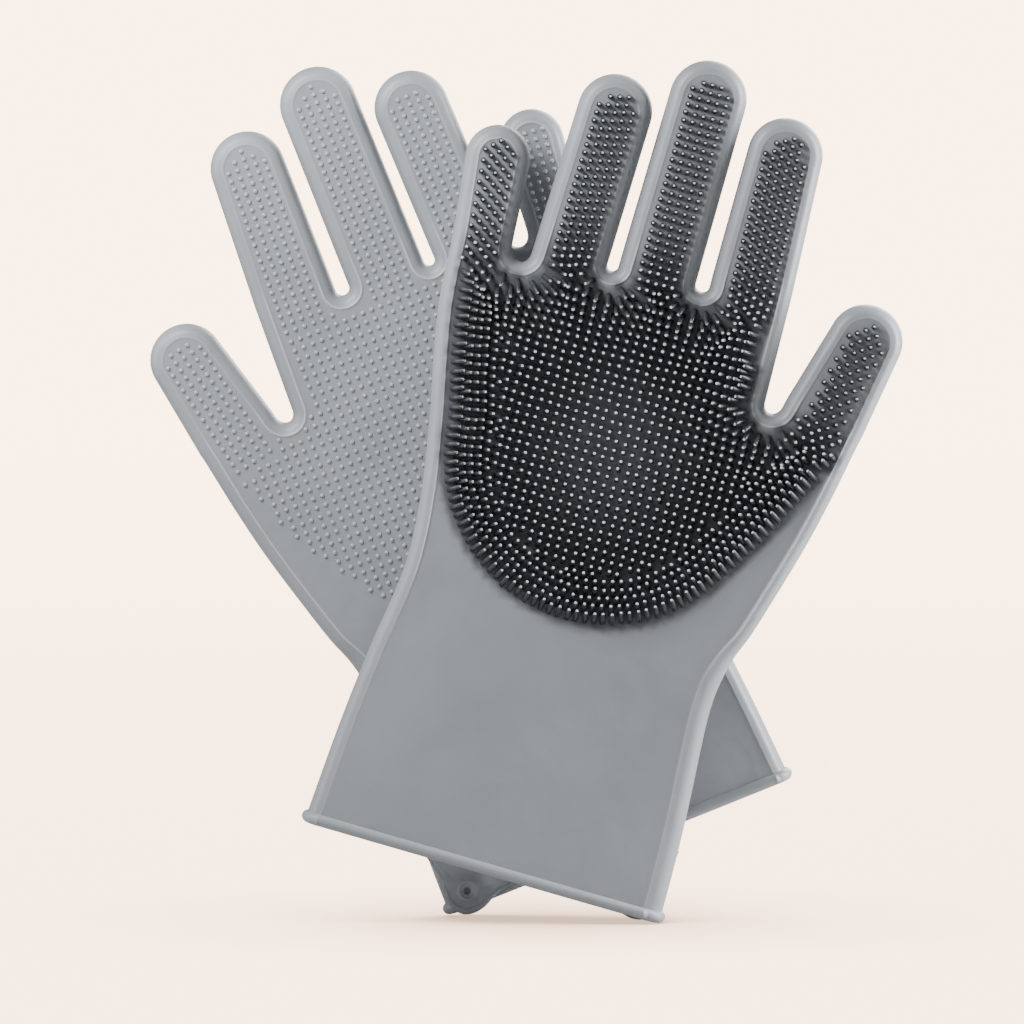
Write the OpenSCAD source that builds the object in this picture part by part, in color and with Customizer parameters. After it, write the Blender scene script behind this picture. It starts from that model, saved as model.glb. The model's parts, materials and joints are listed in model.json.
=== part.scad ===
// A crossed pair of moulded silicone scrubbing gloves.
// Each glove is drawn flat: X runs across the hand towards the thumb, +Z along it towards the
// fingertips from the middle of the cuff's mouth, -Y out of the palm and +Y out of the back.

/* [Hand] */
// Width across the cuff's mouth
mouth_w = 153; // [130:1:180]
// Width across the wrist
wrist_w = 138.5; // [120:1:150]
// How far the wrist's middle lies towards the thumb
wrist_shift = 3; // [-4:0.5:6]
// Mouth of the cuff to the wrist's fold line
cuff_l = 98; // [70:1:160]
// Wrist's fold line to the index and middle knuckles
palm_l = 164; // [140:1:190]
// Thickness of the empty glove, palm face to back face
glove_t = 17; // [14:0.5:24]
// Wall of the moulding
wall = 1.3; // [1:0.1:2]
// Fillet in the webs between fingers, under half the least gap between two fingers
web_r = 1.8; // [1:0.1:1.8]

/* [Digit lengths, knuckle to tip] */
// Thumb
thumb_l = 51; // [40:1:65]
// Index finger
index_l = 71; // [55:1:90]
// Middle finger
middle_l = 85; // [65:1:105]
// Ring finger
ring_l = 70; // [55:1:90]
// Little finger
little_l = 44.5; // [38:0.5:60]

/* [Digit widths at the knuckle] */
// Thumb
thumb_w = 35; // [30:0.5:38]
// Index finger
index_w = 34; // [28:0.5:38]
// Middle finger
middle_w = 32.8; // [28:0.2:38]
// Ring finger
ring_w = 31.4; // [26:0.2:36]
// Little finger
little_w = 25; // [24:0.5:30]

/* [Digit widths at the tip] */
// Thumb
thumb_tip_w = 30.8; // [26:0.2:34]
// Index finger
index_tip_w = 31.2; // [26:0.2:34]
// Middle finger
middle_tip_w = 32; // [26:0.2:34]
// Ring finger
ring_tip_w = 31; // [26:0.2:34]
// Little finger
little_tip_w = 26.8; // [24:0.2:30]

/* [Digit angles, towards the thumb] */
// Thumb
thumb_a = 12; // [6:0.5:20]
// Index finger
index_a = -2; // [-4:0.5:2]
// Middle finger
middle_a = 0; // [-2:0.5:2]
// Ring finger
ring_a = 1; // [-2:0.5:1]
// Little finger
little_a = -5.5; // [-10:0.5:-2]

/* [Spacing of the digits] */
// Gap between the index and middle fingers at the knuckles
index_gap = 5.6; // [4.5:0.1:9]
// Gap between the middle and ring fingers at the knuckles
ring_gap = 4.4; // [4.2:0.1:8]
// Gap between the ring and little fingers at the knuckles
little_gap = 9; // [5:0.5:12]
// Gap between the index finger and the thumb at the thumb's knuckle
thumb_gap = 9.5; // [6:0.5:14]
// How far the thumb's knuckle lies below the index knuckle
thumb_drop = 44; // [35:1:60]
// How far the ring knuckle lies below the middle knuckle
ring_drop = 1; // [0:0.5:6]
// How far the little knuckle lies below the middle knuckle
little_drop = 9; // [4:0.5:16]
// How far the webs lie below the knuckles' fold lines
web_drop = 8.5; // [7.5:0.5:12]

/* [Folds] */
// Half the length of the band of wall that folds at a knuckle
knuckle_half = 6; // [5:0.5:8]
// Half the length of the band of wall that folds at the wrist
wrist_half = 4; // [3.5:0.5:8]

/* [Grips] */
// Length of the palm's bristles
palm_bristle_l = 7.5; // [4:0.5:10]
// Length of the digits' bristles
digit_bristle_l = 4; // [2:0.5:5]
// Height of the back's dots
dot_h = 0.7; // [0.4:0.1:1.2]
// Silhouette to the edge of the bristles
bristle_inset = 7; // [5:0.5:8]
// Silhouette to the edge of the dots
dot_inset = 6; // [5:0.5:8]
// Radius of the round patch of palm bristles
patch_r = 68; // [50:1:74]
// Wrist's fold line to the middle of the round patch
patch_up = 79; // [76:1:90]
// Clear length from a knuckle's fold line to its bristles, each way
bristle_clear = 9.5; // [9.5:0.5:14]

/* [Cuff rim and hanging tab] */
// Radius of the rolled rim
bead_r = 2.5; // [2:0.1:3]
// Radius of the hanging hole
hole_r = 1.5; // [1:0.1:2.5]
// Outer radius of the ring around the hole
ring_r = 4.6; // [3.6:0.1:6]
// Width of the ring around the hole
hole_ring_w = 1.4; // [1:0.1:1.8]
// Height of the ring above the tab
ring_h = 0.6; // [0.4:0.1:1]
// Thickness of the tab
tab_t = 1.8; // [1.2:0.1:2.5]
// Mouth of the cuff to the hanging hole
hole_up = 5; // [4:0.5:12]
// Side of the mouth to the hanging hole
hole_in = 11; // [10:0.5:20]
// Radius of the tab's rounded end
tab_r = 9; // [8:0.5:12]
// How far the tab's side runs up the cuff
tab_up = 27; // [20:1:40]
// How far the tab's other side runs along the mouth
tab_along = 27; // [20:1:40]

/* [Pair] */
// Lean of the front glove
front_lean = 16.1; // [5:0.1:25]
// Lean of the rear glove, the other way
rear_lean = 21.9; // [5:0.1:30]
// Middle of the front glove to the middle of the rear one
pair_gap = 26; // [25.5:0.5:60]
// Rear mouth's middle beside the front one
rear_x = 55.7; // [20:0.1:90]
// Rear mouth's middle above the front one
rear_z = 8.3; // [0:0.1:20]

/* [Hidden] */
$fn = 36;
half_t = glove_t / 2;
bead_cut = bead_r - 0.7;     // the cuff's walls stand on the rim at this height
mask_side = 2;               // half the least gap between two fingers, where masks end
far = 400;                   // longer than the glove
root_down = 42;              // a digit's outline runs this far into the palm
hem_clear = 0.1;             // tab to rim
wall_hole_extra = 1;         // hole in the cuff's wall, larger than the hanging hole
tab_corner_r = 1;            // corners of the tab
tab_waist = 8;               // how far the tab's inner corner lies inside its two far corners
web_rise = 4;                // a thumb's web lies this far below its knuckle
left_waist = 10;             // narrowest place on the left, above the wrist's fold line
right_waist = 8;             // narrowest place on the right, below the wrist's fold line
left_slopes = [0.08, 0.03, -0.08];          // at the mouth, into the waist, out of it
right_slopes = [-0.01, 0.04, 0.14, 0.17];   // the same, and at the thumb's knuckle

DIGITS = ["thumb", "index", "middle", "ring", "little"];
lengths = [thumb_l, index_l, middle_l, ring_l, little_l];
root_rs = [thumb_w, index_w, middle_w, ring_w, little_w] / 2;
tip_rs = [thumb_tip_w, index_tip_w, middle_tip_w, ring_tip_w, little_tip_w] / 2;
angles = [thumb_a, index_a, middle_a, ring_a, little_a];

// Knuckle positions, each set off its neighbour by half widths and a gap
middle_x = wrist_shift - 2;
index_x = middle_x + root_rs[2] + index_gap + root_rs[1];
ring_x = middle_x - root_rs[2] - ring_gap - root_rs[3];
little_x = ring_x - root_rs[3] - little_gap - root_rs[4];
thumb_x = index_x + root_rs[1] + thumb_gap + root_rs[0];
knuckle_z = cuff_l + palm_l;
knuckles = [
    [thumb_x, knuckle_z - thumb_drop],
    [index_x, knuckle_z],
    [middle_x, knuckle_z],
    [ring_x, knuckle_z - ring_drop],
    [little_x, knuckle_z - little_drop]
];

GLOVES = ["front", "rear"];
HAND_PARTS = ["gauntlet_palm", "gauntlet_back", "cuff_bead", "hang_tab", "wrist_flex",
              "palm_skin", "back_skin", "palm_bristles", "back_dots"];
DIGIT_PARTS = ["stall", "flex", "bristles", "dots"];

skin_grey = [0.60, 0.62, 0.64];
back_grey = [0.68, 0.70, 0.72];
cuff_grey = [0.55, 0.57, 0.59];
bristle_grey = [0.30, 0.31, 0.33];
fold_grey = [0.50, 0.52, 0.54];

// --- Curves -------------------------------------------------------------------------------

// A cubic from (z0, x0) to (z1, x1) with end slopes s0 and s1, as points [x, z]
function hermite(z0, x0, s0, z1, x1, s1, n = 10) = [for (i = [0:n])
    let (t = i / n, l = z1 - z0)
    [(2*t*t*t - 3*t*t + 1) * x0 + (t*t*t - 2*t*t + t) * l * s0
        + (3*t*t - 2*t*t*t) * x1 + (t*t*t - t*t) * l * s1,
     z0 + l * t]];

function reversed(v) = [for (i = [len(v) - 1:-1:0]) v[i]];

// Outer edge of a digit at its knuckle, side 1 towards the thumb and -1 away from it
function digit_edge(i, side) = knuckles[i] + side * root_rs[i] * [cos(angles[i]), -sin(angles[i])];

wrist_left = wrist_shift - wrist_w / 2;
wrist_right = wrist_shift + wrist_w / 2;
left_edge = digit_edge(4, -1);
right_edge = digit_edge(0, 1);
left_side = concat(
    hermite(0, -mouth_w / 2, left_slopes[0], cuff_l + left_waist, wrist_left, left_slopes[1], 6),
    hermite(cuff_l + left_waist, wrist_left, left_slopes[2], left_edge[1], left_edge[0],
            tan(little_a)));
right_side = concat(
    hermite(0, mouth_w / 2, right_slopes[0], cuff_l - right_waist, wrist_right,
            right_slopes[1], 6),
    hermite(cuff_l - right_waist, wrist_right, right_slopes[2], right_edge[1], right_edge[0],
            right_slopes[3]));

// --- Flat outlines, x across and y along the glove -------------------------------------------

module palm_2d() {
    web_z = knuckle_z - web_drop;
    thumb_web = [index_x + root_rs[1] + thumb_gap / 2, knuckles[0][1] - web_rise];
    polygon(concat(
        left_side,
        [[ring_x - root_rs[3] - little_gap / 2, knuckles[4][1] - web_drop]],
        [[ring_x, web_z], [index_x, web_z], thumb_web],
        reversed(right_side)));
}

module digit_2d(i) {
    tip = lengths[i] - tip_rs[i];
    translate(knuckles[i]) rotate(-angles[i]) {
        translate([0, tip]) circle(r = tip_rs[i]);
        polygon([[-root_rs[i], 0], [root_rs[i], 0], [tip_rs[i], tip], [-tip_rs[i], tip]]);
    }
}

// The root of a digit, sunk into the palm
module digit_root_2d(i) {
    translate(knuckles[i]) rotate(-angles[i])
        translate([-root_rs[i], -web_drop - 1]) square([2 * root_rs[i], web_drop + 1]);
}

module index_side_2d() {
    translate(knuckles[1]) rotate(-index_a)
        translate([-root_rs[1], -root_down]) square([2 * root_rs[1], root_down]);
}

module joined_2d() {
    palm_2d();
    index_side_2d();
    for (i = [0:4]) {
        digit_2d(i);
        digit_root_2d(i);
    }
}

module glove_2d() {
    offset(r = -web_r) offset(delta = web_r) joined_2d();
}

module wall_2d() {
    difference() {
        glove_2d();
        offset(delta = -wall) glove_2d();
    }
}

// Everything of digit i between the distances from and to beyond its knuckle
module digit_band(i, from, to) {
    w = max(root_rs[i], tip_rs[i]) + mask_side;
    translate(knuckles[i]) rotate(-angles[i]) translate([-w, from]) square([2 * w, to - from]);
}

module cross_band(from, to) {
    translate([-far / 2, from]) square([far, to - from]);
}

module hand_region() {
    difference() {
        cross_band(cuff_l + wrist_half, far);
        for (i = [0:4]) digit_band(i, -knuckle_half, far);
    }
}

module cuff_region() {
    cross_band(bead_cut, cuff_l - wrist_half);
}

// --- Solids ------------------------------------------------------------------------------

// The flat shape drawn under it, standing from depth y0 to depth y1
module slab(y0, y1) {
    translate([0, y1, 0]) rotate([90, 0, 0]) linear_extrude(y1 - y0) children();
}

// Half of a shell, side -1 the palm's and 1 the back's, over the region drawn under it
module half_shell(side) {
    face = side * half_t;
    inner = side * (half_t - wall);
    slab(min(face, inner), max(face, inner)) intersection() {
        glove_2d();
        children();
    }
    slab(min(0, inner), max(0, inner)) intersection() {
        wall_2d();
        children();
    }
}

module gauntlet_palm() {
    color(cuff_grey) half_shell(-1) cuff_region();
}

module gauntlet_back() {
    color(cuff_grey) difference() {
        half_shell(1) cuff_region();
        hanging_bore(hole_r + wall_hole_extra);
    }
}

module palm_skin() {
    color(skin_grey) half_shell(-1) hand_region();
}

module back_skin() {
    color(back_grey) half_shell(1) hand_region();
}

module wrist_flex() {
    color(fold_grey) for (side = [-1, 1])
        half_shell(side) cross_band(cuff_l - wrist_half, cuff_l + wrist_half);
}

module digit_flex(i) {
    color(fold_grey) for (side = [-1, 1])
        half_shell(side) digit_band(i, -knuckle_half, knuckle_half);
}

module digit_stall(i) {
    color(skin_grey) for (side = [-1, 1])
        half_shell(side) digit_band(i, knuckle_half, far);
}

// Rolled rim around the mouth, on the middle of the wall
module cuff_bead() {
    x = (mouth_w - wall) / 2;
    y = (glove_t - wall) / 2;
    color(cuff_grey) difference() {
        union() {
            for (side = [-1, 1]) {
                translate([-x, side * y, 0]) rotate([0, 90, 0]) cylinder(r = bead_r, h = 2 * x);
                translate([side * x, -y, 0]) rotate([-90, 0, 0]) cylinder(r = bead_r, h = 2 * y);
                for (end = [-1, 1]) translate([side * x, end * y, 0]) sphere(r = bead_r);
            }
        }
        translate([-far / 2, -far / 2, bead_cut]) cube(far);
    }
}

// Bell-shaped outline of the corner tab
module tab_2d() {
    x = mouth_w / 2 - hole_in;
    hull() {
        translate([x, hole_up]) circle(r = tab_r);
        translate([mouth_w / 2 - bead_r, tab_up]) circle(r = tab_corner_r);
        translate([x - tab_along, 2 * bead_r]) circle(r = tab_corner_r);
        translate([x - tab_along + tab_waist, tab_up - tab_waist]) circle(r = tab_corner_r);
    }
}

module hanging_bore(r) {
    x = mouth_w / 2 - hole_in;
    translate([x, 0, hole_up]) rotate([-90, 0, 0]) cylinder(r = r, h = far);
}

module hang_tab() {
    foot = half_t;
    plate = half_t - wall / 2 + bead_r + hem_clear;
    x = mouth_w / 2 - hole_in;
    color(cuff_grey) difference() {
        union() {
            slab(plate, plate + tab_t) tab_2d();
            slab(foot, plate) intersection() {
                tab_2d();
                glove_2d();
                cross_band(bead_r + hem_clear, far);
            }
            translate([x, plate + tab_t, hole_up]) rotate([-90, 0, 0]) difference() {
                cylinder(r = ring_r, h = ring_h);
                translate([0, 0, -1]) cylinder(r = ring_r - hole_ring_w, h = ring_h + 2);
            }
        }
        hanging_bore(hole_r);
    }
}

// Space that the palm's bristles fill
module palm_bristles() {
    color(bristle_grey) slab(-half_t - palm_bristle_l, -half_t) intersection() {
        offset(r = -bristle_inset) glove_2d();
        patch_2d();
        difference() {
            cross_band(cuff_l + wrist_half, far);
            for (i = [0:4]) digit_band(i, -bristle_clear, far);
        }
    }
}

// Round patch of bristles, with the stretch that joins it to the thumb
module patch_2d() {
    hull() {
        translate([middle_x + 2, cuff_l + patch_up]) circle(r = patch_r);
        translate(knuckles[0]) circle(r = root_rs[0]);
    }
    cross_band(cuff_l + patch_up, far);
}

module back_dots() {
    color(back_grey) slab(half_t, half_t + dot_h) intersection() {
        offset(r = -dot_inset) glove_2d();
        patch_2d();
        hand_region();
    }
}

module digit_bristles(i) {
    color(bristle_grey) slab(-half_t - digit_bristle_l, -half_t) intersection() {
        offset(r = -bristle_inset) glove_2d();
        digit_band(i, bristle_clear, far);
    }
}

module digit_dots(i) {
    color(back_grey) slab(half_t, half_t + dot_h) intersection() {
        offset(r = -dot_inset) glove_2d();
        digit_band(i, bristle_clear, far);
    }
}

// --- The pair ----------------------------------------------------------------------------

// The front glove shows its palm, the rear one its back
module placed(glove) {
    if (glove == "front")
        rotate([0, front_lean, 0]) children();
    else
        translate([rear_x, pair_gap, rear_z]) rotate([0, -rear_lean, 0]) rotate([0, 0, 180])
            children();
}

for (g = GLOVES) {
    placed(g) gauntlet_palm();
    placed(g) gauntlet_back();
    placed(g) cuff_bead();
    placed(g) hang_tab();
    placed(g) wrist_flex();
    placed(g) palm_skin();
    placed(g) back_skin();
    placed(g) palm_bristles();
    placed(g) back_dots();
    for (i = [0:4]) {
        digit = str(g, "_", DIGITS[i]);
        placed(g) digit_stall(i);
        placed(g) digit_flex(i);
        placed(g) digit_bristles(i);
        placed(g) digit_dots(i);
    }
}
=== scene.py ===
"""A crossed pair of moulded silicone scrubbing gloves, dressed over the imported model.

Each glove is built flat in its own frame, in millimetres: x runs across the hand towards the
thumb, z along it towards the fingertips from the middle of the cuff's mouth, -y comes out of the
palm and +y out of the back. Placement turns and shifts that frame into the model's, in metres.
"""

from __future__ import annotations

import json
import logging
import math
from dataclasses import dataclass
from enum import Enum

import bpy
import numpy as np
from mathutils import Matrix, Vector
from mathutils.geometry import delaunay_2d_cdt


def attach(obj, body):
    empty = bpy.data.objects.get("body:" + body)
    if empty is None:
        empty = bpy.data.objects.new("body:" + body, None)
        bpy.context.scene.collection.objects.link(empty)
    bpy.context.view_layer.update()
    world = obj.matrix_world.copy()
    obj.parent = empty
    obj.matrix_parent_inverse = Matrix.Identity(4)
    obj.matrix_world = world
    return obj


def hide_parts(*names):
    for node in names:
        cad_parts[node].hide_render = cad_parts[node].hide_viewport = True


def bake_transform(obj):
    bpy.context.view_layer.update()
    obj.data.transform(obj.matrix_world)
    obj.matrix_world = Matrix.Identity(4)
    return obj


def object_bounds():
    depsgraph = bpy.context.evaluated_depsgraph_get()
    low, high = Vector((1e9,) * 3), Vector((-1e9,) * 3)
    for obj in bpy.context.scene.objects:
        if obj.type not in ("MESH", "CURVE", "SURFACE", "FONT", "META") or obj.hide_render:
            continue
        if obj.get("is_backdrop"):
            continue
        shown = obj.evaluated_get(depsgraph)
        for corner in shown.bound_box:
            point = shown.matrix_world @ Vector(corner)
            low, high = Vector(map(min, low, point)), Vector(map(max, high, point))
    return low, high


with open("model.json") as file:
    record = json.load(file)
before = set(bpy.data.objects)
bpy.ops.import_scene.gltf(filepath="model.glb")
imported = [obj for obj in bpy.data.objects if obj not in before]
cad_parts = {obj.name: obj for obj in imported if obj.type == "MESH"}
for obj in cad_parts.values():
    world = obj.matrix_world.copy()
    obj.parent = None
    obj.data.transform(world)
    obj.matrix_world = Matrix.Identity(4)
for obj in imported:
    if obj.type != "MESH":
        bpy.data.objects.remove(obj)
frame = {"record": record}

LOG = logging.getLogger("gloves")
MM = 0.001


# --- Plane geometry ------------------------------------------------------------------------------


def spline(stations: list[tuple[float, float]], step: float) -> np.ndarray:
    """A smooth line through stations.

    Args:
        stations: Points (x, z) that the line passes through.
        step: Spacing of the points along it.

    Returns:
        The points, one row each, both ends included.
    """
    p = np.array(stations, float)
    p = np.vstack([2 * p[0] - p[1], p, 2 * p[-1] - p[-2]])
    out = [p[1]]
    for i in range(1, len(p) - 2):
        count = max(2, int(np.linalg.norm(p[i + 1] - p[i]) / step))
        for t in np.arange(1, count + 1) / count:
            a = 2 * p[i]
            b = p[i + 1] - p[i - 1]
            c = 2 * p[i - 1] - 5 * p[i] + 4 * p[i + 1] - p[i + 2]
            d = 3 * p[i] - p[i - 1] - 3 * p[i + 1] + p[i + 2]
            out.append(0.5 * (a + b * t + c * t * t + d * t**3))
    return np.array(out)


def smoothstep(low: float, high: float, value: np.ndarray) -> np.ndarray:
    """0 below low, 1 above high, and smooth between."""
    t = np.clip((np.asarray(value, float) - low) / (high - low), 0, 1)
    return t * t * (3 - 2 * t)


def inside(points: np.ndarray, loop: np.ndarray) -> np.ndarray:
    """Which points lie inside a closed loop, by the even-odd rule."""
    a, b = loop, np.roll(loop, -1, axis=0)
    x, z = points[:, :1], points[:, 1:]
    spans = (a[:, 1] > z) != (b[:, 1] > z)
    rise = np.where(b[:, 1] == a[:, 1], 1e-9, b[:, 1] - a[:, 1])
    crossing = a[:, 0] + (z - a[:, 1]) * (b[:, 0] - a[:, 0]) / rise
    return (spans & (x < crossing)).sum(axis=1) % 2 == 1


def distance(points: np.ndarray, line: np.ndarray) -> np.ndarray:
    """Distance from each point to an open line."""
    a, ab = line[:-1], line[1:] - line[:-1]
    length = np.maximum((ab * ab).sum(axis=1), 1e-12)
    out = np.empty(len(points))
    for start in range(0, len(points), 512):
        p = points[start : start + 512, None, :]
        t = np.clip(((p - a) * ab).sum(axis=2) / length, 0, 1)
        gap = p - (a + t[..., None] * ab)
        out[start : start + 512] = np.sqrt((gap * gap).sum(axis=2)).min(axis=1)
    return out


def walked(line: np.ndarray) -> np.ndarray:
    """How far along an open line each of its points lies."""
    return np.append(0, np.cumsum(np.linalg.norm(np.diff(line, axis=0), axis=1)))


def leftwards(line: np.ndarray) -> np.ndarray:
    """The unit vector to the left of an open line at each of its points."""
    forward = np.gradient(line, axis=0)
    forward /= np.linalg.norm(forward, axis=1)[:, None]
    return np.column_stack([-forward[:, 1], forward[:, 0]])


# --- Sizes of the glove --------------------------------------------------------------------------


@dataclass(frozen=True)
class Rows:
    """How a digit's bristles stand: columns, their spacing, the pitch along each and its shift.

    The shift is the share of a pitch by which each column is moved along from the last.
    """

    columns: int
    across: float
    pitch: float
    shift: float


@dataclass(frozen=True)
class Digit:
    """A thumb or finger: its knuckle, length, radii and angle towards the thumb's side.

    The ridge is the strength of its raised line, and studs keep stud_inset from its silhouette.
    """

    name: str
    x: float
    z: float
    length: float
    root_r: float
    tip_r: float
    angle: float
    bristles: Rows
    dots: Rows
    ridge: float = 0.4
    stud_inset: float = 7.2

    @property
    def axis(self) -> np.ndarray:
        """Unit vector towards the tip."""
        a = math.radians(self.angle)
        return np.array([math.sin(a), math.cos(a)])

    @property
    def across(self) -> np.ndarray:
        """Unit vector towards the thumb's side."""
        a = math.radians(self.angle)
        return np.array([math.cos(a), -math.sin(a)])

    @property
    def straight(self) -> float:
        """Distance from the knuckle to the middle of the tip's arc."""
        return self.length - self.tip_r

    def at(self, along: float, over: float) -> np.ndarray:
        """The point that far along the digit from its knuckle and over from its axis."""
        return np.array([self.x, self.z]) + along * self.axis + over * self.across

    def local(self, points: np.ndarray) -> tuple[np.ndarray, np.ndarray]:
        """Distances of points along and over from the knuckle."""
        d = points - np.array([self.x, self.z])
        return d @ self.axis, d @ self.across

    def radius(self, along: float) -> float:
        """Half the width at that distance from the knuckle."""
        t = min(1.0, max(0.0, along / self.straight))
        return self.root_r + (self.tip_r - self.root_r) * t

    def edge(self, along: float, side: int) -> np.ndarray:
        """The point of the silhouette at that distance, side 1 towards the thumb."""
        return self.at(along, side * self.radius(along))

    def along_at(self, z: float, side: int) -> float:
        """How far along the root's straight edge lies at height z."""
        return (z - self.edge(0, side)[1]) / self.axis[1]


@dataclass(frozen=True)
class Web:
    """The rounded bottom of the gap between two neighbouring digits."""

    bottom: float
    depth: float


class Side(Enum):
    """A face of the glove; the value is the sign of its y."""

    PALM = -1
    BACK = 1


@dataclass(frozen=True)
class GloveSizes:
    """Every size of a glove, in millimetres and degrees."""

    half_t: float = 8.3
    cut: float = -4.0
    fold_end: float = 11.0
    wrist_fold: tuple[float, float] = (86.0, 108.0)
    step: float = 1.7
    grid: float = 3.0
    wall: float = 1.2
    band: float = 4.8
    cuff_band: float = 7.4
    cuff_fade: tuple[float, float] = (96.0, 122.0)
    wall_power: float = 2 / 2.1
    crown: float = 0.6
    crown_reach: float = 26.0
    wave: float = 0.16
    wave_reach: tuple[float, float] = (2.0, 18.0)
    left: tuple[tuple[float, float], ...] = (
        (-76.5, 0), (-75.6, 15), (-74.3, 35), (-72.4, 57), (-69.9, 79), (-67.0, 100),
        (-65.9, 118), (-67.9, 143), (-73.0, 172), (-79.0, 200), (-82.9, 222),
    )
    right: tuple[tuple[float, float], ...] = (
        (76.5, 0), (76.2, 18), (75.4, 38), (73.9, 60), (72.4, 82), (72.6, 96),
        (75.2, 110), (79.6, 122), (84.3, 138), (91.3, 164), (96.0, 186),
    )
    digits: tuple[Digit, ...] = (
        Digit("little", -72.7, 253.0, 44.5, 12.5, 13.4, -5.5,
              Rows(5, 2.9, 4.6, 0.5), Rows(4, 3.8, 3.5, 0.0), ridge=0.75, stud_inset=6.4),
        Digit("ring", -35.5, 261.0, 70.0, 15.7, 15.5, 1.0,
              Rows(5, 3.65, 3.45, 0.28), Rows(5, 4.0, 3.5, 0.0)),
        Digit("middle", 1.0, 262.0, 85.0, 16.4, 16.0, 0.0,
              Rows(5, 3.8, 3.4, 0.0), Rows(5, 4.0, 3.5, 0.0)),
        Digit("index", 40.0, 262.0, 71.0, 17.0, 15.6, -2.0,
              Rows(6, 3.35, 3.4, 0.5), Rows(5, 4.0, 3.5, 0.0)),
        Digit("thumb", 84.0, 218.0, 51.0, 17.5, 15.4, 12.0,
              Rows(7, 2.55, 5.4, 0.5), Rows(5, 4.0, 3.7, 0.0)),
    )
    webs: tuple[Web, ...] = (Web(245.0, 4.9), Web(251.8, 2.5), Web(253.8, 2.9), Web(213.4, 3.9))


# --- The flat outline ----------------------------------------------------------------------------


class Outline:
    """The silhouette as one line from the mouth's left end over every digit to its right end."""

    def __init__(self, sizes: GloveSizes) -> None:
        """Lays out the line.

        Args:
            sizes: The glove's sizes.
        """
        self.sizes = sizes
        points: list[np.ndarray] = []
        self.cuts: list[tuple[int, int]] = []
        digits = sizes.digits
        step = sizes.step

        def add(rows: np.ndarray) -> None:
            """Adds rows, without one that repeats the last point."""
            for row in np.atleast_2d(rows):
                if not points or np.linalg.norm(row - points[-1]) > 0.2:
                    points.append(np.array(row, float))

        def run(start: np.ndarray, end: np.ndarray) -> None:
            """Adds a straight run."""
            count = max(1, int(np.linalg.norm(end - start) / step))
            add(np.array([start + (end - start) * t for t in np.linspace(0, 1, count + 1)]))

        add(spline(list(sizes.left) + [tuple(digits[0].edge(sizes.cut, -1))], step * 1.5))
        for i, digit in enumerate(digits):
            points[-1] = digit.edge(sizes.cut, -1)
            first = len(points) - 1
            run(digit.edge(sizes.cut, -1), digit.edge(0, -1))
            run(digit.edge(0, -1), digit.edge(digit.straight, -1))
            arc = np.linspace(-90, 90, 31)[1:-1]
            add(np.array([
                digit.at(digit.straight + digit.tip_r * math.cos(math.radians(a)),
                         digit.tip_r * math.sin(math.radians(a))) for a in arc]))
            run(digit.edge(digit.straight, 1), digit.edge(0, 1))
            run(digit.edge(0, 1), digit.edge(sizes.cut, 1))
            points[-1] = digit.edge(sizes.cut, 1)
            self.cuts.append((first, len(points) - 1))
            if i < len(digits) - 1:
                web, after = sizes.webs[i], digits[i + 1]
                top = web.bottom + web.depth
                start = digit.edge(min(sizes.cut, digit.along_at(top, 1)), 1)
                end = after.edge(min(sizes.cut, after.along_at(top, -1)), -1)
                run(points[-1], start)
                pull = web.depth * 4 / 3
                handles = np.array([start, start - digit.axis * pull, end - after.axis * pull, end])
                t = np.linspace(0, 1, 15)[:, None]
                add((1 - t) ** 3 * handles[0] + 3 * t * (1 - t) ** 2 * handles[1]
                    + 3 * t * t * (1 - t) * handles[2] + t**3 * handles[3])
                run(points[-1], after.edge(sizes.cut, -1))
        right = list(sizes.right) + [tuple(digits[-1].edge(sizes.cut, 1))]
        add(spline(right, step * 1.5)[::-1])
        self.points = np.array(points)
        normals = leftwards(self.points)
        for _ in range(2):
            normals[1:-1] = (normals[:-2] + 2 * normals[1:-1] + normals[2:]) / 4
        normals[0], normals[-1] = (-1, 0), (1, 0)
        self.normals = normals / np.linalg.norm(normals, axis=1)[:, None]

    def offset(self, inset: np.ndarray | float) -> np.ndarray:
        """The line moved inwards.

        Args:
            inset: How far, one value or one per point.

        Returns:
            The moved points, with both ends still on the mouth.
        """
        moved = self.points - self.normals * np.broadcast_to(inset, len(self.points))[:, None]
        moved[0, 1] = moved[-1, 1] = 0.0
        return moved


# --- The skin ------------------------------------------------------------------------------------


@dataclass
class SkinMesh:
    """Vertices, faces and the per-vertex ridge mask of one piece of skin."""

    vertices: np.ndarray
    faces: list[tuple[int, ...]]
    ridge: np.ndarray


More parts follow.
